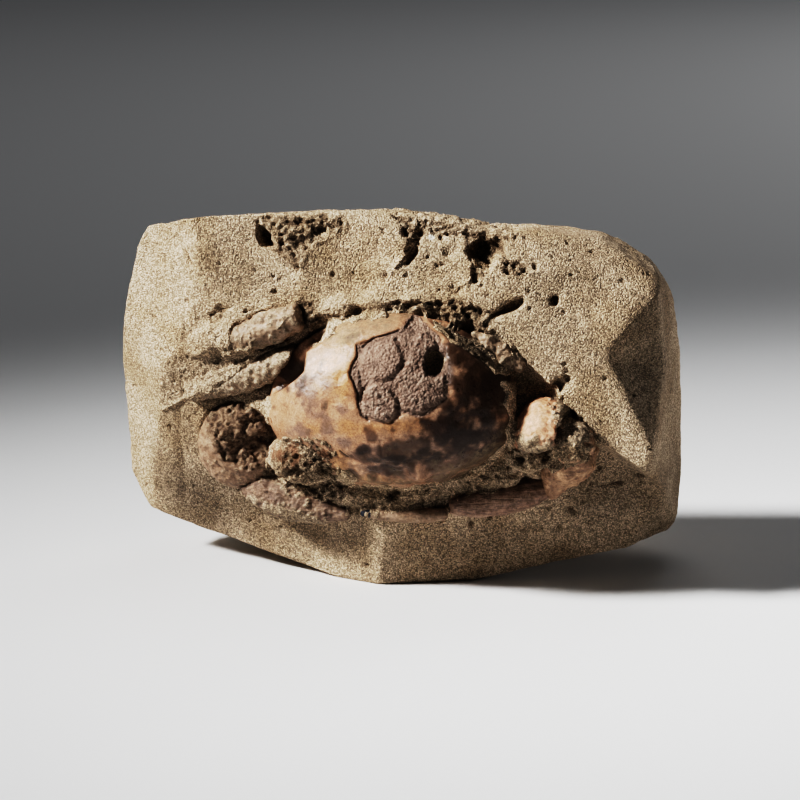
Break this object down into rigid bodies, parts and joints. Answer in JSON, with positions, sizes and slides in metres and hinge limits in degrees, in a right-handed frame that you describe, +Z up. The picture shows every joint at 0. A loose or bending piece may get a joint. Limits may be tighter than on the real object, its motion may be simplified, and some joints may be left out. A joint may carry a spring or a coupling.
{
  "type": "fossil crab in matrix",
  "caption": "Fossil crab on a hand-trimmed block of sandstone: vaulted carapace, folded claws and leg stumps, standing upright on a small flat foot for display.",
  "frame": {"origin": "under the middle of the bounding box, on the surface that the block stands on", "axes": "+Z up, -Y out of the face that carries the crab, +X to the viewer's right when facing the crab"},
  "size_m": [0.1506, 0.0654, 0.0972],
  "materials": {
    "sandstone": "rough fine-grained buff sandstone",
    "carapace_shell": "mineralised shell, smooth and slightly glossy, tan mottled with brown",
    "claw_shell": "mineralised shell, worn, tan to brown",
    "leg_shell": "mineralised shell, worn and dusted with sand"
  },
  "bodies": {
    "root": {"sandstone_block": "sandstone", "carapace": "carapace_shell", "left_claw_palm": "claw_shell", "left_claw_finger": "claw_shell", "right_claw_arm": "claw_shell", "right_claw_palm": "claw_shell", "right_claw_finger": "claw_shell", "right_claw_fixed_finger": "claw_shell", "left_front_leg": "leg_shell", "left_rear_leg": "leg_shell", "right_rear_leg": "leg_shell"}
  },
  "joints": []
}
